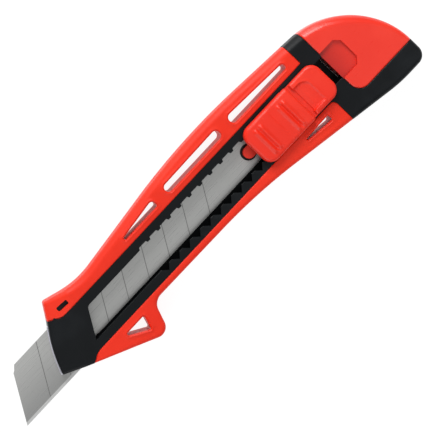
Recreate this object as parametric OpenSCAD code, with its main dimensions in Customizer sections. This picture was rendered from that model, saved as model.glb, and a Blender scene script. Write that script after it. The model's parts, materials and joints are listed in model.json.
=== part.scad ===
// Snap-off utility knife, 18 mm blade, sliding lock, spare blades in the handle.
// The knife lies on its back face. +X runs to the tail, +Y to the spine, +Z out of the
// slider face. The origin is on the channel's centre line, on the back face.

/* [Handle] */
// From the origin forward to the nose corner
nose_reach = 72.8; // [70:0.1:90]
// From the origin back to the seam of the end cap
grip_reach = 69.1; // [66:0.1:84]
// Length of the end cap along the handle
cap_len = 26.4; // [24:0.1:32]
// Thickness from the back face to the front face
body_t = 12; // [11.6:0.1:16]
// Height of the crest of the spine above the centre line, before rounding
spine_h = 20; // [18.5:0.1:26]
// Depth of the finger guard below the centre line, before rounding
guard_h = 22.7; // [21:0.1:28]
// Half height of the black strip between the grips
strip_half = 8.5; // [8:0.1:9]
// Thickness of the soft grip layer on each face
grip_skin = 1.8; // [1.2:0.1:1.8]
// Width of the black band in front of the end cap
band_w = 6.8; // [6:0.1:10]

/* [Blade] */
// Width of the blade, spine to cutting edge
blade_w = 18; // [16:0.1:18.4]
// Thickness of the blade
blade_t = 0.5; // [0.4:0.05:0.6]
// Length from the tip to the square tail end
blade_len = 127.3; // [110:0.1:130]
// Distance between two snap lines
snap_pitch = 10.3; // [9:0.1:12]
// From the tip line back to the first snap line
first_snap = 12.1; // [10:0.1:14]
// Angle of the tip and of the snap lines
snap_angle = 58; // [50:1:65]
// Radius of the hole near the tail
blade_hole_r = 3; // [2.8:0.1:3.4]
// From the hole's centre to the tail end
blade_tail = 5.5; // [4:0.1:7]

/* [Channel] */
// Side clearance between the blade and its guide
blade_gap = 0.15; // [0.1:0.05:0.3]
// Sheet thickness of the two steel guides
guide_t = 0.5; // [0.3:0.1:0.6]
// How far the nose guide stands proud of the nose
guide_proud = 0.3; // [0.2:0.1:0.6]
// Height of the slider's window above the centre line
window_half = 4.9; // [4.5:0.1:5.2]
// Depth of the slider's window below the centre line
window_low = 4.7; // [4.4:0.1:4.9]
// Number of lock notches in front of the slider
lock_steps = 11; // [6:1:12]
// Pitch of the lock notches
tooth_pitch = 5.25; // [4.5:0.05:6]
// Depth of the lock notches in the lower rail
tooth_deep = 1.9; // [1.2:0.1:2.1]
// Depth of the lock notches in the upper rail
tooth_shallow = 0.8; // [0.4:0.1:1]
// Thickness of the plastic floor under the guide
floor_t = 2; // [1.8:0.1:2.4]

/* [Slider] */
// From the cap's seam forward to the slider's front end
slider_front = 40.1; // [39:0.1:46]
// Length of the whole slider
slider_len = 36.3; // [36:0.1:38]
// Width of the thumb pad
pad_w = 15.6; // [15:0.1:16.4]
// Length of the thumb pad
pad_len = 23.1; // [22.6:0.1:24]
// Height of the thumb pad above the front face
pad_h = 4.4; // [4:0.1:6]
// Width of the slider's rear lobe
rest_w = 14.8; // [14:0.1:15.6]
// Height of the rear lobe above the front face
rest_h = 3; // [2.4:0.1:3.6]
// Travel of the thumb pad each way
pad_travel = 0.9; // [0.6:0.1:1]
// Radius of the peg that holds the blade
peg_r = 2.2; // [1.8:0.1:2.4]
// Length of the slider's tongue, which runs in the window
tongue_len = 9.8; // [8:0.1:11]
// Travel of the slider backwards, which hides the blade
travel_back = 28.4; // [24:0.1:28.6]
// How far the slider's centre line lies below the channel's
slider_drop = 0.5; // [0:0.1:0.5]

/* [Fits] */
// Gap between sliding faces
slide_gap = 0.2; // [0.1:0.05:0.3]
// Gap between stacked blades
stack_gap = 0.1; // [0.05:0.05:0.15]
// Radius of the screw shanks
screw_r = 1.1; // [0.9:0.1:1.3]
// Radius of the screw heads
head_r = 1.9; // [1.7:0.1:2.1]
// Radial clearance of a screw shank in its hole
screw_gap = 0.05; // [0.03:0.01:0.1]

/* [Hidden] */
$fn = 48;
far = 400;      // reaches past everything

// places along the handle
nose_x = -nose_reach;
cap_x = grip_reach;
tail_x = cap_x + cap_len;
band_x = cap_x - band_w;
nose_y = -5.5;
nose_angle = 58.3;
nose_bow = 1.4;
nose_run = 8.6;
nose_drop = 1.1;
cap_floor_y = -13.8;

// heights through the handle
mid_z = body_t / 2;
face_z = body_t - grip_skin;
guide_z = floor_t;
spring_z = guide_z + guide_t;
blade_z = mid_z - blade_t;
plate_t = 0.4;
plate_z = blade_z - stack_gap - plate_t;
spare_z = plate_z - 2 * blade_t;
spring_t = 0.35;
leaf_len = 100;
leaf_w = 10;
carrier_z = blade_z + blade_t;
carrier_t = 2;
rail_z = carrier_z + carrier_t + slide_gap;
roof_z = carrier_z + stack_gap;
sole_z = blade_z - stack_gap;

// the channel
guide_half = blade_w / 2 + blade_gap;
pocket_half = guide_half + guide_t;
core_wall = 0.8;
core_half = pocket_half + core_wall;
bay_x = nose_x + 9;
mouth_back = 5;
guide_end = 7;      // from the cap's seam forward to the end of the steel trough
function slant(y) = (y + blade_w / 2) / tan(snap_angle);

// the slider
slider_x = cap_x - slider_front;
lobe_seam = slider_x + pad_len;
base_z = body_t + 0.3;
base_t = 1;
ledge_len = 1.4;
pad_lip = 2.2;
pad_side = 2.5;
peg_x = slider_x - 1.1;
post_x = peg_x + 3.4;
post_len = 8.1;
post_half = 3.4;
wing_len = post_len + 0.7;
tongue_x = post_x + post_len;
tongue_deep = 1.3;
recess_len = tongue_x + tongue_len + travel_back + slide_gap - cap_x;
recess_deep = 1.5;
recess_half = 6.1;
window_x = nose_x + 18.4;
window_step = 0.7;  // how much wider the window is above the ledge of the lower rail
window_wide = window_low + window_step;
lug_t = 1.6;
dish_r = 10.4;
dish_deep = 1;
lug_x = tongue_x + tongue_len / 2 - lug_t / 2;

// the blade
hole_x = peg_x;
tip_x = hole_x + blade_tail - blade_len;
spare_x = bay_x + 0.6;
snap_w = 0.22;
snap_deep = 0.15;
snap_rest = 27;     // tail of the blade without snap lines
edge_w = 1;

// the lock
lock_x = post_x + 5.4;
lock_t = 0.35;
lock_h = 2;
ledge_z = rail_z + 0.8;
lock_z = ledge_z + slide_gap;

// fasteners and latch
boss_r = 2.5;
head_h = 1.2;
head_sink = 0.4;
screw_stop = 2.5;
shell_screw_at = [[nose_x + 21.3, -11.9], [nose_x + 39.7, 11], [-5.4, 13.3],
                  [28, 13.6], [band_x + 4.1, 14.3], [tail_x - 12.5, -17.2]];
slider_screw_at = [post_x + 2, post_x + post_len - 2];
latch_in = 5.4;
latch_out = 8;
latch_y = core_half + 0.1;
latch_w = 2.2;
latch_t = 1.6;
latch_z = body_t - 3.4;
pin_r = 1.2;
pin_at = [-11.9, mid_z];
pin_in = 6;
pin_out = 10;
eye_at = [nose_x + 17.6, 11.35];
eye_len = 4.6;
eye_w = 1.7;

RED = [0.93, 0.2, 0.17];
BLACK = [0.12, 0.13, 0.13];
STEEL = [0.66, 0.66, 0.65];

// ---- outlines --------------------------------------------------------------------

function unit(v) = v / norm(v);

// One corner b of an outline between its neighbours a and c, rounded to radius r
function corner(a, b, c, r) =
    r <= 0 ? [b] :
    let (u = unit(a - b), v = unit(c - b), half = acos(u * v) / 2,
         hub = b + unit(u + v) * r / sin(half),
         p = b + u * r / tan(half) - hub, q = b + v * r / tan(half) - hub,
         from = atan2(p[1], p[0]), turn = atan2(q[1], q[0]) - from,
         sweep = turn > 180 ? turn - 360 : turn < -180 ? turn + 360 : turn,
         steps = max(3, ceil(abs(sweep) * sqrt(r) / 12)))
    [for (i = [0 : steps]) hub + r * [cos(from + sweep * i / steps), sin(from + sweep * i / steps)]];

// Outline through points [x, y, corner radius]
function rounded(pts) =
    let (n = len(pts), at = [for (p = pts) [p[0], p[1]]])
    [for (i = [0 : n - 1]) each corner(at[(i + n - 1) % n], at[i], at[(i + 1) % n], pts[i][2])];

// Strip of thickness t that follows an open line
function side_of(pts, i, off) =
    let (a = pts[max(i - 1, 0)], b = pts[min(i + 1, len(pts) - 1)], d = unit(b - a))
    pts[i] + off * [-d[1], d[0]];
function ribbon(pts, t) =
    concat([for (i = [0 : len(pts) - 1]) side_of(pts, i, t / 2)],
           [for (i = [len(pts) - 1 : -1 : 0]) side_of(pts, i, -t / 2)]);

module slab(z0, z1) translate([0, 0, z0]) linear_extrude(z1 - z0) children();

module block(x0, x1, y0, y1, z0, z1)
    translate([x0, y0, z0]) cube([x1 - x0, y1 - y0, z1 - z0]);

module body_2d() polygon(rounded([
    [nose_x, nose_y, 0.6],
    [nose_x + 4.95 - nose_bow * sin(nose_angle), nose_y + 8.1 + nose_bow * cos(nose_angle), 55],
    [nose_x + 9.4, 10.7, 12],
    [nose_x + 13.5, 16.8, 1.2],
    [nose_x + 26.8, 12.9, 35],
    [15, spine_h, 270],
    [tail_x, 14.5, cap_len + 4.2],
    [tail_x, -22, 4],
    [cap_x + 13, -22, 60],
    [19.4, -11.5, 220],
    [nose_x + 40.3, -11.1, 4.5],
    [nose_x + 36, -guard_h, 4]
]));

module cap_2d(gap) intersection() {
    body_2d();
    polygon(rounded([[cap_x - gap, 40, 0], [tail_x + 5, 40, 0],
                     [tail_x + 5, cap_floor_y - gap, 0], [cap_x - gap, cap_floor_y - gap, 4.5]]));
}

module handle_2d() difference() {
    body_2d();
    cap_2d(stack_gap);
}

// Black part of a face: the strip, the nose, the band and the tail
module face_2d() intersection() {
    handle_2d();
    polygon(rounded([
        [nose_x - 5, -20, 0], [nose_x - 5, 20, 0], [nose_x + 9.6, 11.4, 0],
        [nose_x + 14.6, strip_half, 5], [band_x, strip_half, 0], [band_x, 40, 0],
        [tail_x + 5, 40, 0], [tail_x + 5, -40, 0], [band_x - 1.1, -40, 0],
        [band_x - 1.1, -strip_half, 2], [nose_x + 14.2, -strip_half, 5], [nose_x + 9, -11.4, 0]
    ]));
}

// Black part inside: wide enough for the channel walls and the screw bosses
module core_2d() intersection() {
    handle_2d();
    union() {
        face_2d();
        polygon([[nose_x + 12, -core_half], [nose_x + 12, core_half],
                 [band_x + 1, core_half], [band_x + 1, -core_half]]);
        // dark floor of the blind slot
        translate([eye_at[0], eye_at[1] / 2]) square([eye_len + 1.6, eye_at[1] + 2.8], center = true);
        for (p = shell_screw_at) {
            translate(p) circle(boss_r);
            translate([p[0] - boss_r / 2, min(0, p[1])]) square([boss_r, abs(p[1])]);
        }
    }
}

module grip_2d(upper) difference() {
    intersection() {
        handle_2d();
        mirror([0, upper ? 0 : 1]) translate([nose_x + 10, 0]) square([band_x - nose_x - 10, 40]);
    }
    face_2d();
}

module slots_2d() {
    polygon(rounded([[-24.2, 11, 0.4], [-23.8, 12, 0.4], [-7.9, 13.9, 1.3], [-7.5, 11, 0.8]]));
    polygon(rounded([[-2, 11, 1.5], [-2, 14.2, 1.5], [25.4, 14.6, 1.6], [25.4, 11, 1.6]]));
    polygon(rounded([[30.8, 11, 1.6], [30.8, 14.7, 1.6], [57.8, 13.3, 1], [57.8, 11, 1]]));
    polygon(rounded([[44.7, -11.7, 0.3], [44.7, -11, 0.3], [56.1, -10.8, 0.6], [56.1, -13.1, 0.8]]));
    polygon(rounded([[nose_x + 25.6, -12.6, 0.4], [nose_x + 25.6, -11.6, 0.5],
                     [nose_x + 34.3, -11.6, 0.6], [nose_x + 32.6, -16.9, 0.6]]));
}

// Blind slot in the front of the upper grip
module eye_2d() translate(eye_at) rotate(-4)
    polygon(rounded([[-eye_len / 2, -eye_w / 2, 0.6], [-eye_len / 2, eye_w / 2, 0.6],
                     [eye_len / 2, eye_w / 2, 0.4], [eye_len / 2, -eye_w / 2, 0.4]]));

// Window with its slanted front edge, down to the given depth
module window_2d(low) {
    front = window_x - 1 - (low - window_low) * 6 / (window_half + window_low);
    polygon(rounded([[front, -low, 0], [window_x + 5, window_half, 1.6],
                     [cap_x + 1, window_half, 0], [cap_x + 1, -low, 0]]));
}

module along_rail() {
    behind = floor((cap_x - lock_x - 2) / tooth_pitch);
    for (k = [-lock_steps : behind]) translate([lock_x + k * tooth_pitch, 0]) children();
}

// Shallow, flat notches in the upper rail
module upper_notches_2d() along_rail() polygon([
    [-2, window_half - 1], [-2, window_half], [-1.6, window_half + tooth_shallow],
    [1.6, window_half + tooth_shallow], [2, window_half], [2, window_half - 1]]);

// Deep, pointed notches in the lower rail
module lower_notches_2d() along_rail() polygon([
    [-1.9, -window_low], [-1.9, -window_wide], [0, -window_wide - tooth_deep],
    [1.9, -window_wide], [1.9, -window_low]]);

// Space of the blades from a front wall at the blade's own angle to x = rear
module bay_2d(half, front, rear) polygon([
    [front + slant(-half), -half], [front + slant(half), half], [rear, half], [rear, -half]
]);

// Strip of the nose that the blade passes, a little proud of its front edge
module mouth_2d(half, proud) intersection() {
    translate([-proud, 0]) body_2d();
    polygon([[nose_x - 5, -half], [nose_x - 5, half],
             [window_x - mouth_back + slant(half), half],
             [window_x - mouth_back + slant(-half), -half]]);
}

// ---- casing ------------------------------------------------------------------------

module screw_holes() for (p = shell_screw_at) translate([p[0], p[1], -1]) {
    cylinder(r = screw_r + screw_gap, h = 1 + body_t - screw_stop);
    cylinder(r = head_r + screw_gap, h = 1 + head_sink + head_h);
}

module shell_screws() color(STEEL) for (p = shell_screw_at) translate([p[0], p[1], head_sink])
    difference() {
        union() {
            cylinder(r = head_r, h = head_h);
            cylinder(r = screw_r, h = body_t - screw_stop - head_sink - 0.5);
        }
        // crossed slots
        for (a = [0, 90]) rotate(a) block(-1.2, 1.2, -0.25, 0.25, -1, 0.7);
    }

// Room inside the shells for the guide, the blades and the carrier
module channel() {
    slab(guide_z, roof_z + guide_t) bay_2d(pocket_half, bay_x, cap_x + 1);
    slab(sole_z - guide_t, roof_z + guide_t) mouth_2d(pocket_half, 1);
    slab(carrier_z, rail_z) bay_2d(pocket_half, window_x - 2, cap_x + 1);
}

module latch_pocket() block(cap_x - latch_in - slide_gap, cap_x + 1, latch_y - slide_gap,
    latch_y + latch_w + slide_gap, latch_z - latch_t - slide_gap, latch_z + 0.6);

module pin_hole(gap) translate([cap_x - pin_in - gap, pin_at[0], pin_at[1]]) rotate([0, 90, 0])
    cylinder(r = pin_r + gap, h = pin_in + pin_out + gap);

module front_shell() color(BLACK) difference() {
    union() {
        slab(mid_z, face_z) core_2d();
        slab(face_z, body_t) face_2d();
    }
    channel();
    slab(carrier_z, body_t + 1) window_2d(window_low);
    slab(ledge_z, body_t + 1) window_2d(window_wide);
    slab(carrier_z, body_t + 1) upper_notches_2d();
    slab(ledge_z, body_t + 1) lower_notches_2d();
    slab(0, body_t + 1) slots_2d();
    screw_holes();
    latch_pocket();
    pin_hole(screw_gap);
    nose_slope();
}

// The nose slopes down to the blade's mouth
module nose_slope() translate([nose_x, nose_y, body_t]) rotate(nose_angle)
    translate([0, -nose_run, 0]) rotate([-atan(nose_drop / nose_run), 0, 0])
        block(-20, 40, 0, 40, 0, 10);

module back_shell() color(BLACK) difference() {
    union() {
        slab(grip_skin, mid_z) core_2d();
        slab(0, grip_skin) face_2d();
    }
    channel();
    slab(-1, body_t) slots_2d();
    screw_holes();
    latch_pocket();
    pin_hole(screw_gap);
}

module grip(upper, z0, z1, skin0, skin1) difference() {
    slab(z0, z1) grip_2d(upper);
    difference() {
        slab(skin0, skin1) core_2d();
        slab(skin0 - 1, skin1 + 1) slots_2d();
    }
    slab(-1, body_t + 1) slots_2d();
}

module front_upper_grip() color(RED) difference() {
    grip(true, mid_z, body_t, mid_z - 1, face_z);
    slab(body_t - 1.8, body_t + 1) eye_2d();
    screw_holes();
    nose_slope();
}

module front_lower_grip() color(RED) difference() {
    grip(false, mid_z, body_t, mid_z - 1, face_z);
    screw_holes();
}

module back_upper_grip() color(RED) difference() {
    grip(true, 0, mid_z, grip_skin, mid_z + 1);
    screw_holes();
}

module back_lower_grip() color(RED) difference() {
    grip(false, 0, mid_z, grip_skin, mid_z + 1);
    screw_holes();
}

// ---- blade channel and magazine ------------------------------------------------------

// Steel trough for the blades: floor and two walls
module blade_guide() color(STEEL) {
    rear = cap_x - guide_end;
    slab(guide_z, guide_z + guide_t) bay_2d(pocket_half, bay_x + slide_gap, rear);
    slab(guide_z, carrier_z) difference() {
        bay_2d(pocket_half, bay_x + slide_gap, rear);
        translate([nose_x, -guide_half]) square([far, 2 * guide_half]);
    }
}

// Steel sleeve in the nose: floor, roof and two walls close around the blade
module nose_guide() color(STEEL) {
    slab(roof_z, roof_z + guide_t) mouth_2d(pocket_half, guide_proud);
    slab(sole_z - guide_t, sole_z) difference() {
        mouth_2d(pocket_half, guide_proud);
        bay_2d(far, bay_x, far);
    }
    slab(sole_z - guide_t, roof_z + guide_t) difference() {
        mouth_2d(pocket_half, guide_proud);
        bay_2d(far, bay_x, far);
        translate([nose_x - 5, -guide_half]) square([far, 2 * guide_half]);
    }
}

// Wavy leaf that presses the spare blades against the plate
module magazine_spring() color(STEEL) {
    rise = spare_z - spring_z - spring_t;
    line = [for (i = [0 : 24]) let (a = i / 24)
            [leaf_len * a, rise * (0.5 - 0.5 * cos(720 * a))]];
    translate([nose_x + 25, leaf_w / 2, spring_z + spring_t / 2]) rotate([90, 0, 0])
        linear_extrude(leaf_w) polygon(ribbon(line, spring_t));
}

// Dark plate that parts the working blade from the spare blades
module magazine_plate() color(BLACK)
    block(nose_x + 20, cap_x - 8, -blade_w / 2 + 0.4, blade_w / 2 - 0.4, plate_z, plate_z + plate_t);

// Flat blade with slanted tip, clipped corner, hole and ground edge, from its tip at x = 0
module blade_body(lines) {
    top = blade_w / 2;
    lean = blade_w / tan(snap_angle);
    difference() {
        linear_extrude(blade_t) polygon([
            [0, -top], [lean - 1.2, top - 1.9], [lean - 0.4, top - 1.5], [lean + 1.1, top],
            [blade_len - 1, top], [blade_len, top - 1], [blade_len, -top + 1], [blade_len - 1, -top]
        ]);
        translate([blade_len - blade_tail, 0, -1]) cylinder(r = blade_hole_r, h = 3);
        if (lines) for (x = [first_snap : snap_pitch : blade_len - snap_rest])
            translate([x, -top, 0]) rotate(snap_angle)
                block(-1, blade_w / sin(snap_angle) + 1, -snap_w / 2, snap_w / 2, blade_t - snap_deep, 1);
        // both flanks of the ground edge
        for (s = [0, 1]) translate([-1, -top, s * blade_t]) mirror([0, 0, s])
            rotate([-atan(blade_t / 2 / edge_w), 0, 0]) block(0, blade_len + 2, -1, 3, -1, 0);
    }
}

module spare(i) color(STEEL)
    translate([spare_x, 0, spare_z + i * blade_t]) blade_body(false);
module spare_blade_1() spare(0);
module spare_blade_2() spare(1);

// ---- slider ----------------------------------------------------------------------------

module blade() color(STEEL) translate([tip_x, 0, blade_z]) blade_body(true);

module blade_carrier() color(RED) difference() {
    union() {
        // wings that run in the channel on top of the blade
        block(post_x - 0.4, post_x - 0.4 + wing_len, -guide_half + slide_gap, guide_half - slide_gap,
              carrier_z, carrier_z + carrier_t);
        // finger and peg
        translate([peg_x, 0, carrier_z]) cylinder(r = peg_r, h = carrier_t);
        block(peg_x, post_x, -peg_r, peg_r, carrier_z, carrier_z + carrier_t);
        translate([peg_x, 0, blade_z + stack_gap]) cylinder(r = peg_r, h = blade_t);
        // post through the window
        block(post_x, post_x + post_len, -post_half, post_half, carrier_z, base_z);
    }
    for (x = slider_screw_at) translate([x, 0, carrier_z - 1])
        cylinder(r = screw_r + screw_gap, h = 10);
}

module lobe_2d(x0, x1, w, front_r, rear_r) translate([0, -slider_drop]) polygon(rounded([
    [x0, -w / 2, front_r], [x0, w / 2, front_r], [x1, w / 2, rear_r], [x1, -w / 2, rear_r]]));

module tongue_2d() {
    high = window_half - slide_gap;
    low = window_wide - slide_gap;
    rear = tongue_x + tongue_len;
    polygon([[tongue_x, -low], [tongue_x, high], [rear - 1.5, high], [rear, high - 1.5],
             [rear, -low + 1.5], [rear - 1.5, -low]]);
}

module slider_base() color(RED) difference() {
    union() {
        // plate under the thumb pad
        slab(base_z, base_z + base_t)
            lobe_2d(slider_x + pad_lip, lobe_seam + 3, pad_w - 2 * pad_side, 1, 0.4);
        // ledge under the pad's rear edge
        slab(base_z, base_z + base_t) lobe_2d(lobe_seam - ledge_len, lobe_seam + 3, rest_w, 0, 0);
        // rear lobe
        slab(base_z, body_t + rest_h)
            lobe_2d(lobe_seam + 1.1, slider_x + slider_len, rest_w, 0.6, 4);
        // tongue that is guided by the window and stops in the cap's recess
        slab(base_z - tongue_deep, base_z) tongue_2d();
    }
    // finger dish
    translate([lobe_seam + 4.4, -slider_drop, body_t + rest_h - dish_deep + dish_r]) rotate([90, 0, 0])
        cylinder(r = dish_r, h = rest_w - 3, center = true);
    // slot for the lug and the springs of the thumb pad
    block(tongue_x + 0.8, tongue_x + tongue_len - 0.8, -2.2, 2.2, base_z - 5, base_z + 5);
    for (x = slider_screw_at) translate([x, 0, base_z - 1]) {
        cylinder(r = screw_r + screw_gap, h = 5);
        translate([0, 0, 1.3]) cylinder(r = head_r + screw_gap, h = 5);
    }
}

module slider_screws() color(STEEL) for (x = slider_screw_at) translate([x, 0, 0]) difference() {
    union() {
        translate([0, 0, base_z + 0.3]) cylinder(r = head_r, h = 0.65);
        translate([0, 0, carrier_z + 0.2]) cylinder(r = screw_r, h = base_z - carrier_z + 0.4);
    }
    translate([-1.2, -0.2, base_z + 0.6]) cube([2.4, 0.4, 1]);
}

// Leaf around the post: a pointed tip in the lower notches, a blunt one in the upper
module lock_spring() color(STEEL) {
    y = post_half + lock_t / 2 + 0.05;
    tip = window_wide + tooth_deep - 0.5;
    blunt = window_half + tooth_shallow - 0.45;
    x0 = post_x - 0.6;
    x1 = post_x + post_len - 0.2;
    slab(lock_z, lock_z + lock_h) polygon(ribbon([
        [x1, -y], [lock_x + 1.9, -y], [lock_x + 0.2, -tip], [lock_x - 0.2, -tip],
        [lock_x - 1.9, -y], [x0 + 0.5, -y], [x0, -y + 0.5], [x0, y - 0.5], [x0 + 0.5, y],
        [lock_x - 1.9, y], [lock_x - 0.9, blunt], [lock_x + 0.9, blunt],
        [lock_x + 1.9, y], [x1, y]], lock_t));
}

// Two folded leaves that centre the thumb pad's lug
module pad_springs() color(STEEL) for (s = [-1, 1]) {
    reach = tongue_len / 2 - 0.8 - lug_t / 2;
    translate([lug_x + lug_t / 2 + s * lug_t / 2, 0, base_z - 0.9]) linear_extrude(1.4)
        polygon(ribbon([for (i = [0 : 6])
            [s * (0.2 + (reach - 0.4) * i / 6), i % 2 == 0 ? -1.7 : 1.7]], 0.2));
}

module thumb_pad() color(RED) difference() {
    union() {
        slab(base_z + 0.1, body_t + pad_h) lobe_2d(slider_x, lobe_seam, pad_w, 4, 1);
        block(lug_x, lug_x + lug_t, -1.9, 1.9, base_z - 0.9, body_t + pad_h - 1);
    }
    difference() {
        slab(base_z, base_z + base_t + slide_gap)
            union() {
                lobe_2d(slider_x + pad_lip - pad_travel - slide_gap, lobe_seam + 2,
                        pad_w - 2 * pad_side + 2 * slide_gap, 0, 0);
                lobe_2d(lobe_seam - ledge_len - pad_travel - slide_gap, lobe_seam + 2,
                        pad_w + 1, 0, 0);
            }
        block(lug_x, lug_x + lug_t, -1.9, 1.9, 0, far);
    }
    // grooves that leave two pairs of ribs
    for (x = [3.8, 6.2, 8.6, 15.3, 17.6, 19.9])
        translate([slider_x + x, -slider_drop, body_t + pad_h]) rotate([90, 0, 0])
            cylinder(r = 0.5, h = pad_w - 4, center = true);
}

// ---- end cap ---------------------------------------------------------------------------

module end_cap() color(RED) difference() {
    slab(0, body_t) cap_2d(0);
    // shallow recess for the slider's tongue
    slab(body_t - recess_deep, body_t + 1) polygon([
        [cap_x - 1, -recess_half], [cap_x - 1, recess_half],
        [cap_x + recess_len - 2, recess_half], [cap_x + recess_len, recess_half - 2.2],
        [cap_x + recess_len, -recess_half + 2.2], [cap_x + recess_len - 2, -recess_half]]);
    // socket for the latch
    block(cap_x - 1, cap_x + latch_out, latch_y, latch_y + latch_w, latch_z - latch_t, latch_z);
    pin_hole(0);
}

// Springy tongue that holds the cap on the handle
module cap_latch() color(BLACK) {
    block(cap_x - latch_in, cap_x + latch_out, latch_y, latch_y + latch_w,
          latch_z - latch_t, latch_z);
    translate([cap_x - latch_in + 1.2, latch_y + latch_w, latch_z]) rotate([90, 0, 0])
        cylinder(r = 0.45, h = latch_w);
}

// Steel pin across the seam that keeps the cap in line
module cap_pin() color(STEEL) pin_hole(0);

front_shell();
back_shell();
front_upper_grip();
front_lower_grip();
back_upper_grip();
back_lower_grip();
blade_guide();
nose_guide();
magazine_spring();
magazine_plate();
spare_blade_1();
spare_blade_2();
shell_screws();
blade();
blade_carrier();
slider_base();
slider_screws();
lock_spring();
pad_springs();
thumb_pad();
end_cap();
cap_latch();
cap_pin();
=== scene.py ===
"""Looks of the snap-off utility knife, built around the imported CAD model.

Lengths inside the shape code are millimetres in the model's own frame: +X runs to the tail, +Y to
the spine, +Z out of the slider face. Each moulded piece is its CAD solid trimmed by a rounded
envelope, so that holes, walls and fits stay where the CAD put them.
"""

import json
import math

import bmesh
import bpy
import numpy as np
from mathutils import Matrix, Vector
from mathutils.geometry import delaunay_2d_cdt


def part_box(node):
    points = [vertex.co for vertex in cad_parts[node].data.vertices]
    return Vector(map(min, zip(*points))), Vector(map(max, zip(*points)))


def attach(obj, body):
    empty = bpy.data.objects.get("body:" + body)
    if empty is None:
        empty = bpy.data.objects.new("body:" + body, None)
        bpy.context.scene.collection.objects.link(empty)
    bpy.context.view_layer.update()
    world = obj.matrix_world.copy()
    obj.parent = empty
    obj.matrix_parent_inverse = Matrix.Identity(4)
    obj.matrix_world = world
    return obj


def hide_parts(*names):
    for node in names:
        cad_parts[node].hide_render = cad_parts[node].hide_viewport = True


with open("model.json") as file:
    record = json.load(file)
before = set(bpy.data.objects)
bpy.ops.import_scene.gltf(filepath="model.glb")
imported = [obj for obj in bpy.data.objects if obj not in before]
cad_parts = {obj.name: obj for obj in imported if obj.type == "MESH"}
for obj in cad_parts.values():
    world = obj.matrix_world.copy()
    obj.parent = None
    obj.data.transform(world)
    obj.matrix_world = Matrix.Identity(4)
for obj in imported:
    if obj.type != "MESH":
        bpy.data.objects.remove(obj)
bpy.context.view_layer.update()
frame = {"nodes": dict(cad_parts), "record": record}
MM = 0.001
RECORD = frame["record"]
BODY_OF = {node: body for body, nodes in RECORD["behaviour"]["bodies"].items() for node in nodes}


# ---- places, taken from the frame ---------------------------------------------------------

def span(node):
    """Lowest and highest corner of a CAD node, in millimetres."""
    low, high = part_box(node)
    return np.array(low) / MM, np.array(high) / MM


SHELL_LOW, SHELL_HIGH = span("front_shell")
FRONT_FACE = SHELL_HIGH[2]
CAP_LOW, CAP_HIGH = span("end_cap")
PAD_LOW, PAD_HIGH = span("thumb_pad")
REST_LOW, REST_HIGH = span("slider_base")
BLADE_LOW, BLADE_HIGH = span("blade")
BASE_TOP = FRONT_FACE + 1.3      # top of the plate under the thumb pad
PAD_SPLIT = BASE_TOP + 0.3      # the CAD's own pad is kept below this height

NOSE_X = SHELL_LOW[0]
CAP_X = CAP_LOW[0]
TAIL_X = CAP_HIGH[0]
FACE_Z = SHELL_HIGH[2]
MID_Z = FACE_Z / 2
BAND_X = CAP_X - 6.8
STRIP_HALF = 8.5
CAP_FLOOR_Y = -13.8
SKIN = 0.03             # the envelope lies this far inside the CAD's outline

# ---- outlines -------------------------------------------------------------------------------


def corner(a, b, c, radius, step=0.5):
    """Points of corner b between a and c, rounded to a radius."""
    a, b, c = (np.array(p, float) for p in (a, b, c))
    if radius <= 0:
        return [b]
    u, v = (a - b) / np.linalg.norm(a - b), (c - b) / np.linalg.norm(c - b)
    half = math.acos(np.clip(u @ v, -1, 1)) / 2
    mid = (u + v) / np.linalg.norm(u + v)
    hub = b + mid * radius / math.sin(half)
    p, q = b + u * radius / math.tan(half) - hub, b + v * radius / math.tan(half) - hub
    start = math.atan2(p[1], p[0])
    turn = (math.atan2(q[1], q[0]) - start + math.pi) % (2 * math.pi) - math.pi
    steps = max(4, math.ceil(abs(turn) * radius / step))
    angles = [start + turn * i / steps for i in range(steps + 1)]
    return [hub + radius * np.array([math.cos(t), math.sin(t)]) for t in angles]


def rounded(points):
    """Closed outline through points (x, y, corner radius)."""
    out = []
    for i, (x, y, radius) in enumerate(points):
        before, after = points[i - 1], points[(i + 1) % len(points)]
        out += corner(before[:2], (x, y), after[:2], radius)
    return np.array(out)


def dense(outline, step=0.6):
    """The same closed outline with points at most one step apart."""
    out = []
    for a, b in zip(outline, np.roll(outline, -1, axis=0)):
        count = max(1, math.ceil(np.linalg.norm(b - a) / step))
        out += [a + (b - a) * i / count for i in range(count)]
    return np.array(out)


def body_outline():
    """Silhouette of the whole handle, end cap included."""
    return rounded([
        (NOSE_X, -5.5, 0.6),
        (NOSE_X + 3.76, 3.34, 55),
        (NOSE_X + 9.4, 10.7, 12),
        (NOSE_X + 13.5, 16.8, 1.2),
        (NOSE_X + 26.8, 12.9, 35),
        (15, 20, 270),
        (TAIL_X, 14.5, TAIL_X - CAP_X + 4.2),
        (TAIL_X, -22, 4),
        (CAP_X + 13, -22, 60),
        (19.4, -11.5, 220),
        (NOSE_X + 40.3, -11.1, 4.5),
        (NOSE_X + 36, -22.7, 4),
    ])


def face_line():
    """Border between the black face and the red grips."""
    return rounded([
        (NOSE_X - 5, -20, 0), (NOSE_X - 5, 20, 0), (NOSE_X + 9.6, 11.4, 0),
        (NOSE_X + 14.6, STRIP_HALF, 5), (BAND_X, STRIP_HALF, 0), (BAND_X, 40, 0),
        (TAIL_X + 5, 40, 0), (TAIL_X + 5, -40, 0), (BAND_X - 1.1, -40, 0),
        (BAND_X - 1.1, -STRIP_HALF, 2), (NOSE_X + 14.2, -STRIP_HALF, 5), (NOSE_X + 9, -11.4, 0),
    ])


def cap_line():
    """Border of the end cap against the shells."""
    return rounded([(CAP_X, 40, 0), (TAIL_X + 5, 40, 0), (TAIL_X + 5, CAP_FLOOR_Y, 0),
                    (CAP_X, CAP_FLOOR_Y, 4.5)])


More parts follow.
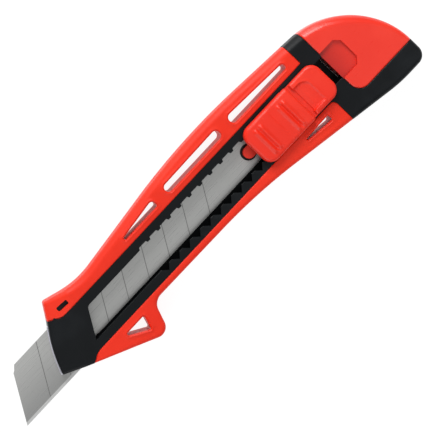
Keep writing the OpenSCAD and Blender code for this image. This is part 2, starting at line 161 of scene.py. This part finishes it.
def slot_lines():
    """Borders of the slots that go through the grips."""
    return [
        rounded([(-24.2, 11, 0.4), (-23.8, 12, 0.4), (-7.9, 13.9, 1.3), (-7.5, 11, 0.8)]),
        rounded([(-2, 11, 1.5), (-2, 14.2, 1.5), (25.4, 14.6, 1.6), (25.4, 11, 1.6)]),
        rounded([(30.8, 11, 1.6), (30.8, 14.7, 1.6), (57.8, 13.3, 1), (57.8, 11, 1)]),
        rounded([(44.7, -11.7, 0.3), (44.7, -11, 0.3), (56.1, -10.8, 0.6), (56.1, -13.1, 0.8)]),
        rounded([(NOSE_X + 25.6, -12.6, 0.4), (NOSE_X + 25.6, -11.6, 0.5),
                 (NOSE_X + 34.3, -11.6, 0.6), (NOSE_X + 32.6, -16.9, 0.6)]),
    ]


def window_line():
    """Border of the window that the slider runs in."""
    left = NOSE_X + 18.4
    return rounded([(left - 1.44, -5.4, 0), (left + 5, 4.9, 1.6), (CAP_X + 1, 4.9, 0),
                    (CAP_X + 1, -5.4, 0)])


def lobe_line(x0, x1, width, centre_y, front, rear):
    """Rounded rectangle with its own front and rear corner radius."""
    low, high = centre_y - width / 2, centre_y + width / 2
    return rounded([(x0, low, front), (x0, high, front), (x1, high, rear), (x1, low, rear)])


# ---- distances and rounded edges ----------------------------------------------------------

def distance(points, outline):
    """Distance from each point to a closed outline."""
    best = np.full(len(points), 1e9)
    for a, b in zip(outline, np.roll(outline, -1, axis=0)):
        d = b - a
        length = d @ d
        if length < 1e-12:
            continue
        t = np.clip(((points - a) @ d) / length, 0, 1)
        best = np.minimum(best, np.linalg.norm(points - a - t[:, None] * d, axis=1))
    return best


def inside(points, outline):
    """True for each point within a closed outline."""
    x, y = points[:, 0], points[:, 1]
    hit = np.zeros(len(points), bool)
    for (ax, ay), (bx, by) in zip(outline, np.roll(outline, -1, axis=0)):
        if ay == by:
            continue
        crosses = (ay > y) != (by > y)
        hit ^= crosses & (x < (bx - ax) * (y - ay) / (by - ay) + ax)
    return hit


def fillet(d, radius):
    """How far a rounded edge has dropped at distance d from the wall."""
    e = np.clip(radius - d, 0, radius)
    return radius - np.sqrt(np.maximum(radius ** 2 - e ** 2, 0))


def smooth(x, low, high):
    """Smooth step from 0 at low to 1 at high."""
    t = np.clip((x - low) / (high - low), 0, 1)
    return t * t * (3 - 2 * t)


def inset(outline, gap):
    """The outline moved inwards by a small gap."""
    a, b = np.roll(outline, 1, axis=0), np.roll(outline, -1, axis=0)
    tangent = b - a
    tangent /= np.linalg.norm(tangent, axis=1)[:, None]
    normal = np.stack([-tangent[:, 1], tangent[:, 0]], axis=1)
    area = np.sum(outline[:, 0] * b[:, 1] - b[:, 0] * outline[:, 1])
    return outline + normal * gap * (1 if area > 0 else -1)


# ---- envelopes ----------------------------------------------------------------------------

RINGS = (0.03, 0.09, 0.2, 0.35, 0.55, 0.8, 1.1, 1.45, 1.85, 2.3, 2.8)


def envelope_points(outline, lines, grid):
    """Points inside an outline: rings along the outline and the feature lines, and a grid."""
    sets = []
    for line, offsets in [(outline, RINGS)] + lines:
        for offset in offsets:
            ring = dense(line, max(0.3, min(0.9, offset + 0.2)))
            for side in (-1, 1):
                moved = inset(ring, side * offset)
                keep = distance(moved, line) > 0.9 * offset
                sets.append(moved[keep])
    low, high = outline.min(0), outline.max(0)
    xs, ys = np.arange(low[0], high[0], grid), np.arange(low[1], high[1], grid)
    sets.append(np.stack(np.meshgrid(xs, ys), -1).reshape(-1, 2))
    points = np.concatenate(sets)
    points = points[inside(points, outline)]
    return points[distance(points, outline) > 0.02]


def envelope(name, outline, lines, top, bottom, grid=1.2):
    """Closed solid between two height functions over an outline."""
    border = dense(outline, 0.5)
    extra = envelope_points(outline, lines, grid)
    points = np.concatenate([border, extra])
    count = len(border)
    edges = [(i, (i + 1) % count) for i in range(count)]
    made = delaunay_2d_cdt([Vector(p) for p in points], edges, [], 1, 1e-4)
    flat = np.array([tuple(v) for v in made[0]])
    faces = made[2]
    upper = np.column_stack([flat, top(flat)])
    lower = np.column_stack([flat, bottom(flat)])
    shift = len(flat)
    uses = {}
    for face in faces:
        for i, j in zip(face, face[1:] + face[:1]):
            uses[(i, j)] = uses.get((i, j), 0) + 1
    walls = [(i, j) for i, j in uses if (j, i) not in uses]
    polygons = [tuple(f) for f in faces]
    polygons += [tuple(i + shift for i in reversed(f)) for f in faces]
    polygons += [(j, i, i + shift, j + shift) for i, j in walls]
    mesh = bpy.data.meshes.new(name)
    mesh.from_pydata([tuple(p * MM) for p in np.concatenate([upper, lower])], [], polygons)
    solid = bpy.data.objects.new(name, mesh)
    bpy.context.scene.collection.objects.link(solid)
    tidy(solid)
    return solid


def tidy(obj):
    """Welds an object's mesh and makes its faces look outwards."""
    work = bmesh.new()
    work.from_mesh(obj.data)
    bmesh.ops.remove_doubles(work, verts=work.verts, dist=1e-6)
    bmesh.ops.dissolve_degenerate(work, edges=work.edges, dist=1e-7)
    bmesh.ops.recalc_face_normals(work, faces=work.faces)
    work.to_mesh(obj.data)
    work.free()


def copy_of(node, name):
    """A loose copy of a CAD node's solid."""
    mesh = frame["nodes"][node].data.copy()
    mesh.name = name
    mesh.materials.clear()
    if "custom_normal" in mesh.attributes:
        mesh.attributes.remove(mesh.attributes["custom_normal"])
    copy = bpy.data.objects.new(name, mesh)
    bpy.context.scene.collection.objects.link(copy)
    tidy(copy)
    return copy


def combine(obj, tool, operation):
    """Boolean of two solids, kept in the first."""
    cut = obj.modifiers.new("cut", "BOOLEAN")
    cut.operation = operation
    cut.solver = "MANIFOLD"
    cut.object = tool
    bpy.context.view_layer.update()
    result = bpy.data.meshes.new_from_object(obj.evaluated_get(bpy.context.evaluated_depsgraph_get()))
    obj.modifiers.clear()
    if not result.polygons:
        raise RuntimeError(f"{obj.name}: the trim left nothing")
    obj.data = result


def moulded(node, solid, material):
    """The CAD node trimmed by an envelope, standing for the node on its body."""
    piece = copy_of(node, node + "_skin")
    combine(piece, solid, "INTERSECT")
    finish_piece(piece, node, material)


def finish_piece(piece, node, material, sharp=38):
    """Smooth shading, material and body of a piece that stands for a CAD node."""
    piece.data.materials.clear()
    piece.data.materials.append(material)
    piece.data.shade_smooth()
    piece.data.set_sharp_from_angle(angle=math.radians(sharp))
    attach(piece, BODY_OF[node])
    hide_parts(node)


# ---- heights of the moulded faces ---------------------------------------------------------

BODY = inset(dense(body_outline(), 0.5), SKIN)
FACE_LINE = face_line()
CAP_LINE = cap_line()
SLOTS = slot_lines()
WINDOW = window_line()
BEAD = 0.3              # height of the bead around each slot


def edge_radius(p):
    """Rounding of the silhouette: full along the spine and the cap, tight at nose and belly."""
    upper = smooth(p[:, 1], -8, 8)
    rear = smooth(p[:, 0], BAND_X - 20, CAP_X + 6)
    radius = 1.5 + 1.1 * upper + 0.5 * rear * (1 - upper) + 0.9 * rear * upper
    nose = 1 - smooth(p[:, 0], NOSE_X + 8, NOSE_X + 30)
    return radius * (1 - nose) + 0.8 * nose


def nose_fall(p):
    """Drop of the sloped nose towards the blade's mouth."""
    angle, run, drop = math.radians(58.3), 8.6, 2.0
    forward = (p[:, 0] - NOSE_X) * -math.sin(angle) + (p[:, 1] + 5.5) * math.cos(angle)
    return np.maximum(forward + run, 0) * drop / run


def body_fall(p):
    return fillet(distance(p, BODY), edge_radius(p))


def slot_fall(p):
    """Rounded slot edges with a low bead around each slot."""
    fall = np.full(len(p), BEAD)
    for line in SLOTS:
        d = distance(p, line)
        fall += fillet(d, 0.35) - BEAD * np.exp(-((d - 0.6) / 0.38) ** 2)
    return fall


def grip_top(p):
    fall = body_fall(p) + slot_fall(p) + fillet(distance(p, FACE_LINE), 0.5)
    return FACE_Z - 0.02 - fall - nose_fall(p)


def grip_bottom(p):
    return 0.02 + body_fall(p) + slot_fall(p) + fillet(distance(p, FACE_LINE), 0.3)


def shell_top(p):
    sunk = 0.35 * (1 - smooth(p[:, 0], BAND_X - 3, BAND_X)) * smooth(p[:, 0], NOSE_X + 10, NOSE_X + 18)
    fall = body_fall(p) + fillet(distance(p, WINDOW), 0.15) + fillet(distance(p, CAP_LINE), 0.35)
    return FACE_Z - 0.04 - sunk - fall - nose_fall(p)


def shell_bottom(p):
    return 0.04 + body_fall(p) + fillet(distance(p, CAP_LINE), 0.35)


def above_parting(p):
    """Lower side of a front half: a small chamfer at the outline, then well below the joint."""
    return np.maximum(MID_Z + 0.16 - distance(p, BODY), MID_Z - 1)


def below_parting(p):
    return np.minimum(MID_Z - 0.16 + distance(p, BODY), MID_Z + 1)


def cap_top(p):
    return FACE_Z - 0.02 - body_fall(p) - fillet(distance(p, CAP_LINE), 0.6)


def cap_bottom(p):
    return 0.02 + body_fall(p) + fillet(distance(p, CAP_LINE), 0.6)


PAD_Y = (PAD_LOW[1] + PAD_HIGH[1]) / 2
PAD_BORDER = inset(lobe_line(PAD_LOW[0], PAD_HIGH[0], PAD_HIGH[1] - PAD_LOW[1], PAD_Y, 4, 1), SKIN)
REST_Y = (REST_LOW[1] + REST_HIGH[1]) / 2
REST_X = PAD_HIGH[0] + 1.1
REST_BORDER = inset(lobe_line(REST_X, REST_HIGH[0], REST_HIGH[1] - REST_LOW[1], REST_Y, 0.6, 4), SKIN)


def rib(x, at, width):
    """Soft ridge of height 1 across x."""
    return np.exp(-((x - at) / width) ** 2)


def pad_top(p):
    """Crowned thumb pad with two pairs of cross ribs and a low step between them."""
    x, y = p[:, 0] - PAD_LOW[0], p[:, 1] - PAD_Y
    front = 1 - smooth(np.abs(y + 0.3), 4.2, 6.2)
    rear = 1 - smooth(np.abs(y + 0.5), 4.6, 6.6)
    crown = 0.3 * (y / 7.8) ** 2 + 0.3 * smooth(x, 7, 0)
    relief = front * (rib(x, 4.9, 0.7) + rib(x, 7.3, 0.7) - 0.55 * rib(x, 6.1, 0.55))
    relief += rear * (rib(x, 16.4, 0.65) + rib(x, 18.7, 0.7) - 0.6 * rib(x, 17.6, 0.5))
    step = 0.22 * smooth(x, 12.2, 12.7) * smooth(x, 15.8, 12.8)
    fall = fillet(distance(p, PAD_BORDER), 1.3)
    return PAD_HIGH[2] - 0.72 - crown + 0.68 * relief - step - fall


def dish_line():
    """Border of the finger dish: open towards the pad, with one rounded corner."""
    return rounded([(REST_X - 3, REST_Y - 5.6, 0), (REST_X - 3, REST_Y + 5.4, 0),
                    (REST_X + 6.2, REST_Y + 5.4, 3.6), (REST_X + 6.2, REST_Y - 5.6, 0.6)])


def rest_top(p):
    """Rear lobe with a ribbed finger dish that rises to a curved lip."""
    line = dish_line()
    within = np.where(inside(p, line), distance(p, line), 0)
    along = np.clip((p[:, 0] - REST_X) / 6.2, 0, 1)
    dish = smooth(within, 0, 0.7) * (0.35 + 1.0 * (1 - along) ** 1.3)
    ribs = 0.05 * np.cos(p[:, 0] * 2 * math.pi / 1.5) * smooth(within, 0.6, 1.2)
    lip = 0.12 * np.exp(-((distance(p, line) - 0.1) / 0.5) ** 2) * smooth(p[:, 0], REST_X, REST_X + 2)
    fall = fillet(distance(p, REST_BORDER), 1.1)
    return REST_HIGH[2] - 0.16 - dish + ribs + lip - fall


def level(z):
    return lambda p: np.full(len(p), z)


# ---- materials ------------------------------------------------------------------------------

class Shader:
    """A small helper that wires a principled material from noise."""

    def __init__(self, name):
        self.material = bpy.data.materials.new(name)
        self.material.use_nodes = True
        self.tree = self.material.node_tree
        self.surface = self.tree.nodes["Principled BSDF"]
        self.place = self.add("ShaderNodeTexCoord").outputs["Object"]

    def add(self, kind, **values):
        node = self.tree.nodes.new(kind)
        for key, value in values.items():
            setattr(node, key, value)
        return node

    def link(self, a, b):
        self.tree.links.new(a, b)

    def stretched(self, scale):
        node = self.add("ShaderNodeMapping")
        node.inputs["Scale"].default_value = scale
        self.link(self.place, node.inputs["Vector"])
        return node.outputs["Vector"]

    def noise(self, size, detail=4, rough=0.6, vector=None):
        """Noise whose lumps are about `size` metres across."""
        node = self.add("ShaderNodeTexNoise")
        node.inputs["Scale"].default_value = 1 / size
        node.inputs["Detail"].default_value = detail
        node.inputs["Roughness"].default_value = rough
        self.link(vector or self.place, node.inputs["Vector"])
        return node.outputs["Fac"]

    def ramp(self, value, stops):
        """Maps a value to a colour: stops are (place, (r, g, b))."""
        node = self.add("ShaderNodeValToRGB")
        ramp = node.color_ramp
        while len(ramp.elements) < len(stops):
            ramp.elements.new(0.5)
        for element, (place, colour) in zip(ramp.elements, stops):
            element.position = place
            element.color = (*colour, 1)
        self.link(value, node.inputs["Fac"])
        return node.outputs["Color"]

    def remap(self, value, low, high, start=0.3, stop=0.7):
        node = self.add("ShaderNodeMapRange")
        for key, number in (("From Min", start), ("From Max", stop), ("To Min", low), ("To Max", high)):
            node.inputs[key].default_value = number
        self.link(value, node.inputs["Value"])
        return node.outputs["Result"]

    def times(self, a, b):
        node = self.add("ShaderNodeMath", operation="MULTIPLY")
        self.link(a, node.inputs[0])
        self.link(b, node.inputs[1])
        return node.outputs[0]

    def bump(self, height, strength, depth, after=None):
        node = self.add("ShaderNodeBump")
        node.inputs["Strength"].default_value = strength
        node.inputs["Distance"].default_value = depth
        self.link(height, node.inputs["Height"])
        if after:
            self.link(after, node.inputs["Normal"])
        return node.outputs["Normal"]

    def set(self, **values):
        """Sets or links the surface's own sockets; names use _ for spaces."""
        for key, value in values.items():
            socket = self.surface.inputs[key.replace("_", " ")]
            if isinstance(value, bpy.types.NodeSocket):
                self.link(value, socket)
            else:
                socket.default_value = value


def recess_shade(s):
    """1 on the floor of the cap's recess, fading away from the seam, 0 elsewhere."""
    axes = s.add("ShaderNodeSeparateXYZ")
    s.link(s.place, axes.inputs[0])
    low = s.remap(axes.outputs["Z"], 1, 0, (FACE_Z - 1.2) * MM, (FACE_Z - 0.2) * MM)
    near = s.remap(axes.outputs["X"], 1, 0.35, CAP_X * MM, (CAP_X + 8) * MM)
    under = s.remap(axes.outputs["Y"], 0, 1, -0.0064, -0.006)
    over = s.remap(axes.outputs["Y"], 1, 0, 0.006, 0.0064)
    return s.times(s.times(low, near), s.times(under, over))


def moulded_plastic(name, deep, plain, light, rough, grain=0.00028, specular=0.5, coat=0.0, shade=None):
    """Moulded plastic: slow colour drift, fine spark grain, rubbed edges and faint scuffs."""
    s = Shader(name)
    drift = s.ramp(s.noise(0.03, 3), [(0.3, deep), (0.55, plain), (0.8, light)])
    rubbed = s.remap(s.add("ShaderNodeNewGeometry").outputs["Pointiness"], 0, 0.35, 0.52, 0.6)
    colour = mix_colour(s, rubbed, drift, light)
    if shade:
        colour = mix_colour(s, shade(s), colour, (0.5, 0.009, 0.003))
    scuff = s.noise(0.0012, 6, 0.7, s.stretched((0.35, 2.2, 1)))
    s.set(Base_Color=colour, Roughness=s.remap(scuff, rough - 0.05, rough + 0.09))
    grains = s.bump(s.noise(grain, 3, 0.55), 0.16, 0.00006)
    s.set(Normal=s.bump(s.noise(0.004, 2), 0.08, 0.0002, grains))
    s.surface.inputs["Specular IOR Level"].default_value = specular
    if coat:
        s.surface.inputs["Coat Weight"].default_value = coat
        s.surface.inputs["Coat Roughness"].default_value = 0.25
    return s.material


def mix_colour(s, factor, a, b):
    """Mixes two colours; each is a socket or a plain colour."""
    node = s.add("ShaderNodeMix", data_type="RGBA")
    s.link(factor, node.inputs[0])
    for socket, value in ((node.inputs[6], a), (node.inputs[7], b)):
        if isinstance(value, bpy.types.NodeSocket):
            s.link(value, socket)
        else:
            socket.default_value = (*value, 1)
    return node.outputs[2]


def steel(name, dark, light, rough, streak=(0.05, 6, 1), metallic=1.0, spots=0.0):
    """Rolled or ground steel: streaks along the piece, faint stains and fine scratches."""
    s = Shader(name)
    grain = s.noise(0.0011, 5, 0.65, s.stretched(streak))
    cloud = s.noise(0.02, 3)
    tone = s.ramp(grain, [(0.3, dark), (0.7, light)])
    stain = s.remap(cloud, 0, 0.35, 0.45, 0.75)
    s.set(Base_Color=mix_colour(s, stain, tone, dark), Metallic=metallic)
    s.set(Roughness=s.remap(grain, rough - 0.06, rough + 0.1))
    s.set(Normal=s.bump(grain, 0.12, 0.00005))
    s.surface.inputs["Anisotropic"].default_value = 0.4
    return s.material


def blade_steel():
    """Ground blade steel: fine lines along the blade, painted shade in the snap grooves and towards the
    cutting edge in front of the nose, a bright honed edge.
    """
    s = Shader("blade_steel")
    grain = s.noise(0.0007, 5, 0.6, s.stretched((0.06, 4, 1)))
    cloud = s.noise(0.016, 3)
    axes = s.add("ShaderNodeSeparateXYZ")
    s.link(s.place, axes.inputs[0])
    low, top = BLADE_LOW * MM, BLADE_HIGH * MM
    edge = s.remap(axes.outputs["Y"], 1, 0, low[1] + 0.0009, low[1] + 0.0011)
    tone = s.ramp(grain, [(0.25, (0.44, 0.44, 0.425)), (0.75, (0.475, 0.475, 0.46))])
    cloudy = mix_colour(s, s.remap(cloud, 0, 0.4), tone, (0.44, 0.44, 0.425))
    # painted shade: the blade in front of the nose darkens towards the cutting edge
    painted_edge_shade = s.times(s.remap(axes.outputs["Y"], 0.75, 0, -0.007, 0.007),
                   s.remap(axes.outputs["X"], 1, 0, (NOSE_X - 2) * MM, (NOSE_X + 6) * MM))
    colour = mix_colour(s, edge, mix_colour(s, painted_edge_shade, cloudy, (0.25, 0.25, 0.245)), (0.56, 0.56, 0.55))
    # painted shade in the snap grooves: they are the only faces a little under the top face, above the ground
    # edge
    under = s.remap(axes.outputs["Z"], 1, 0, top[2] - 0.00008, top[2] - 0.00004)
    deep = s.remap(axes.outputs["Z"], 0, 1, top[2] - 0.0002, top[2] - 0.00018)
    flat = s.remap(axes.outputs["Y"], 0, 1, low[1] + 0.0011, low[1] + 0.0012)
    groove_shade = s.times(s.times(under, deep), flat)
    s.set(Base_Color=mix_colour(s, groove_shade, colour, (0.17, 0.17, 0.165)))
    s.set(Roughness=s.remap(grain, 0.26, 0.34))
    s.set(Normal=s.bump(grain, 0.05, 0.00002))
    s.surface.inputs["Metallic"].default_value = 0.55
    s.surface.inputs["Specular IOR Level"].default_value = 0.5
    return s.material


def floor_material():
    s = Shader("table")
    s.set(Base_Color=s.ramp(s.noise(0.4, 2), [(0.3, (0.12, 0.12, 0.12)), (0.7, (0.14, 0.14, 0.14))]))
    s.set(Roughness=0.85)
    s.surface.inputs["Emission Color"].default_value = (1, 1, 1, 1)
    s.surface.inputs["Emission Strength"].default_value = 0.92
    return s.material


RED_SKIN = moulded_plastic("red_skin", (0.74, 0.023, 0.007), (0.79, 0.028, 0.009), (0.86, 0.040, 0.016), 0.42,
                           specular=0.22)
RED_HARD = moulded_plastic("red_hard", (0.74, 0.020, 0.007), (0.79, 0.024, 0.008), (0.86, 0.040, 0.018), 0.34,
                           grain=0.0002, specular=0.35)
RED_CAP = moulded_plastic("red_cap", (0.74, 0.022, 0.007), (0.79, 0.026, 0.009), (0.86, 0.040, 0.018), 0.3,
                          grain=0.0002, specular=0.4, coat=0.22, shade=recess_shade)
BLACK = moulded_plastic("black_abs", (0.0025, 0.0035, 0.004), (0.004, 0.005, 0.006), (0.012, 0.014, 0.016),
                        0.4, specular=0.16)
# painted shade: a darker, duller copy of the black plastic for the sunken faces of the window
BLACK_PAINTED_SHADE = moulded_plastic("black_rail_painted_shade", (0.001, 0.0012, 0.0014), (0.0015, 0.0018, 0.002),
                             (0.003, 0.0035, 0.004), 0.6, specular=0.03)
BLADE_STEEL = blade_steel()
GUIDE_STEEL = steel("guide_steel", (0.55, 0.54, 0.6), (0.72, 0.71, 0.78), 0.4, metallic=0.6)
# near-black plate steel: its dark colour paints the shade seen in the gap around the blade's hole
DARK_STEEL_SHADE = steel("blackened_steel", (0.012, 0.012, 0.013), (0.02, 0.02, 0.021), 0.45, metallic=0.5)
SPRING_STEEL = steel("spring_steel", (0.28, 0.28, 0.30), (0.45, 0.45, 0.47), 0.3)
SCREW_STEEL = steel("screw_steel", (0.38, 0.38, 0.38), (0.6, 0.6, 0.6), 0.35, (1, 1, 1))


# ---- pieces ---------------------------------------------------------------------------------

def feature(line, reach):
    """A feature line and the ring offsets that a rounding of that reach needs."""
    return (dense(line, 0.5), [r for r in RINGS if r <= reach])


def build_handle():
    """Grips, shells and cap, each half trimmed by its own rounded form."""
    slots = [feature(line, 0.9) for line in SLOTS]
    face = feature(FACE_LINE, 0.6)
    cap = feature(CAP_LINE, 0.8)
    window = feature(WINDOW, 0.4)
    forms = []
    for nodes, lines, top, bottom, material in (
        (("front_upper_grip", "front_lower_grip"), slots + [face], grip_top, above_parting, RED_SKIN),
        (("back_upper_grip", "back_lower_grip"), slots + [face], below_parting, grip_bottom, RED_SKIN),
        (("front_shell",), [window, cap], shell_top, above_parting, BLACK),
        (("back_shell",), [window, cap], below_parting, shell_bottom, BLACK),
        (("end_cap",), [cap], cap_top, cap_bottom, RED_CAP),
    ):
        form = envelope(nodes[0] + "_form", BODY, lines, top, bottom)
        forms.append(form)
        for node in nodes:
            moulded(node, form, material)
    return forms


def paint_rail_shade():
    """Paints shade on the sunken steps, notches and walls of the window: their faces get a darker, duller
    copy of the black plastic.
    """
    mesh = bpy.data.objects["front_shell_skin"].data
    mesh.materials.append(BLACK_PAINTED_SHADE)
    for face in mesh.polygons:
        x, y, z = np.array(face.center) / MM
        if z < FACE_Z - 0.9 and WINDOW[:, 0].min() - 1 < x < CAP_X and abs(y) < STRIP_HALF:
            face.material_index = 1


def build_slider():
    """Thumb pad and rear lobe: finely modelled tops on the CAD's lower sides."""
    pad = envelope("pad_form", PAD_BORDER, [], pad_top, level(PAD_SPLIT), 0.3)
    piece = copy_of("thumb_pad", "thumb_pad_skin")
    low_part = box_solid(PAD_LOW - 1, (PAD_HIGH[0] + 1, PAD_HIGH[1] + 1, PAD_SPLIT + 0.1))
    combine(piece, low_part, "INTERSECT")
    combine(piece, pad, "UNION")
    finish_piece(piece, "thumb_pad", RED_HARD)
    lobe = envelope("rest_form", REST_BORDER, [feature(dish_line(), 1.2)], rest_top,
                    level(BASE_TOP - 0.6), 0.35)
    piece = copy_of("slider_base", "slider_base_skin")
    base_part = box_solid(REST_LOW - 1, (REST_HIGH[0] + 1, REST_HIGH[1] + 1, BASE_TOP))
    combine(piece, base_part, "INTERSECT")
    combine(piece, lobe, "UNION")
    finish_piece(piece, "slider_base", RED_HARD)
    return [pad, low_part, lobe, base_part]


def box_solid(low, high):
    """Closed box between two corners, used only as a cutter."""
    mesh = bpy.data.meshes.new("cutter")
    work = bmesh.new()
    bmesh.ops.create_cube(work, size=1)
    low, high = np.array(low) * MM, np.array(high) * MM
    for v in work.verts:
        v.co = Vector((low + high) / 2) + Vector(np.array(v.co) * (high - low))
    work.to_mesh(mesh)
    work.free()
    cutter = bpy.data.objects.new("cutter", mesh)
    bpy.context.scene.collection.objects.link(cutter)
    return cutter


def dressed(nodes, material, edge=0.0):
    """Copies of small CAD nodes with softened edges and true face normals."""
    for node in nodes:
        piece = copy_of(node, node + "_skin")
        work = bmesh.new()
        work.from_mesh(piece.data)
        bmesh.ops.dissolve_limit(work, angle_limit=math.radians(1), verts=work.verts, edges=work.edges)
        work.to_mesh(piece.data)
        work.free()
        if edge:
            bevel = piece.modifiers.new("edges", "BEVEL")
            bevel.width = edge * MM
            bevel.segments = 2
            bevel.limit_method = "ANGLE"
            bevel.angle_limit = math.radians(50)
        finish_piece(piece, node, material)


for form in build_handle() + build_slider():
    bpy.data.objects.remove(form)
paint_rail_shade()
dressed(["blade", "spare_blade_1", "spare_blade_2"], BLADE_STEEL)
dressed(["blade_guide", "nose_guide"], GUIDE_STEEL, 0.06)
# the magazine plate's near-black colour paints the shade in the gap around the blade's hole
dressed(["magazine_plate"], DARK_STEEL_SHADE)
dressed(["magazine_spring", "lock_spring", "pad_springs"], SPRING_STEEL)
dressed(["shell_screws", "slider_screws", "cap_pin"], SCREW_STEEL, 0.1)
dressed(["blade_carrier"], RED_HARD, 0.2)
dressed(["cap_latch"], BLACK, 0.15)

# ---- stage ----------------------------------------------------------------------------------


def build_floor():
    mesh = bpy.data.meshes.new("table")
    half = 2.0
    mesh.from_pydata([(-half, -half, 0), (half, -half, 0), (half, half, 0), (-half, half, 0)], [],
                     [(0, 1, 2, 3)])
    table = bpy.data.objects.new("table", mesh)
    table.location.z = -0.0001
    mesh.materials.append(floor_material())
    bpy.context.scene.collection.objects.link(table)


def area_light(name, place, target, size, power, colour=(1, 1, 1)):
    data = bpy.data.lights.new(name, "AREA")
    data.size, data.energy, data.color = size, power, colour
    lamp = bpy.data.objects.new(name, data)
    lamp.location = place
    aim = Vector(target) - Vector(place)
    lamp.rotation_mode = "QUATERNION"
    lamp.rotation_quaternion = aim.to_track_quat("-Z", "Y")
    bpy.context.scene.collection.objects.link(lamp)


def build_lights():
    area_light("rim", (0.3, 0.85, 0.2), (0, 0, 0), 0.5, 3.0)
    area_light("key", (0.3, 0.65, 0.6), (0, 0, 0), 0.45, 5.9)
    area_light("fill", (-0.6, -0.3, 0.5), (0, 0, 0), 0.6, 2.7)
    area_light("side", (0.55, -0.45, 0.6), (0, 0, 0), 0.5, 0.8)
    area_light("overhead", (0.0, -0.14, 1.0), (0, 0, 0), 0.9, 1.1)
    world = bpy.data.worlds.new("studio")
    world.use_nodes = True
    world.node_tree.nodes["Background"].inputs["Color"].default_value = (0.95, 0.97, 1, 1)
    world.node_tree.nodes["Background"].inputs["Strength"].default_value = 0.3
    bpy.context.scene.world = world
    bpy.context.scene.view_settings.view_transform = "Standard"


def build_camera():
    """Camera above the knife, rolled so that the tail points to the upper right."""
    roll = math.radians(46.5)
    lean_y, lean_x = math.radians(8), math.radians(-3)
    width = 0.1498
    lens, sensor = 200.0, 36.0
    reach = width * lens / sensor
    data = bpy.data.cameras.new("camera")
    data.lens, data.sensor_width = lens, sensor
    camera = bpy.data.objects.new("camera", data)
    target = Vector((0.0036, -0.00645, FACE_Z * MM))
    back = Vector((math.tan(lean_x), math.tan(lean_y), 1)).normalized()
    up = Vector((math.sin(roll), math.cos(roll), 0))
    right = up.cross(back).normalized()
    up = back.cross(right).normalized()
    turn = Matrix((right, up, back)).transposed()
    camera.matrix_world = Matrix.Translation(target + back * reach) @ turn.to_4x4()
    bpy.context.scene.collection.objects.link(camera)
    bpy.context.scene.camera = camera


build_floor()
build_lights()
build_camera()
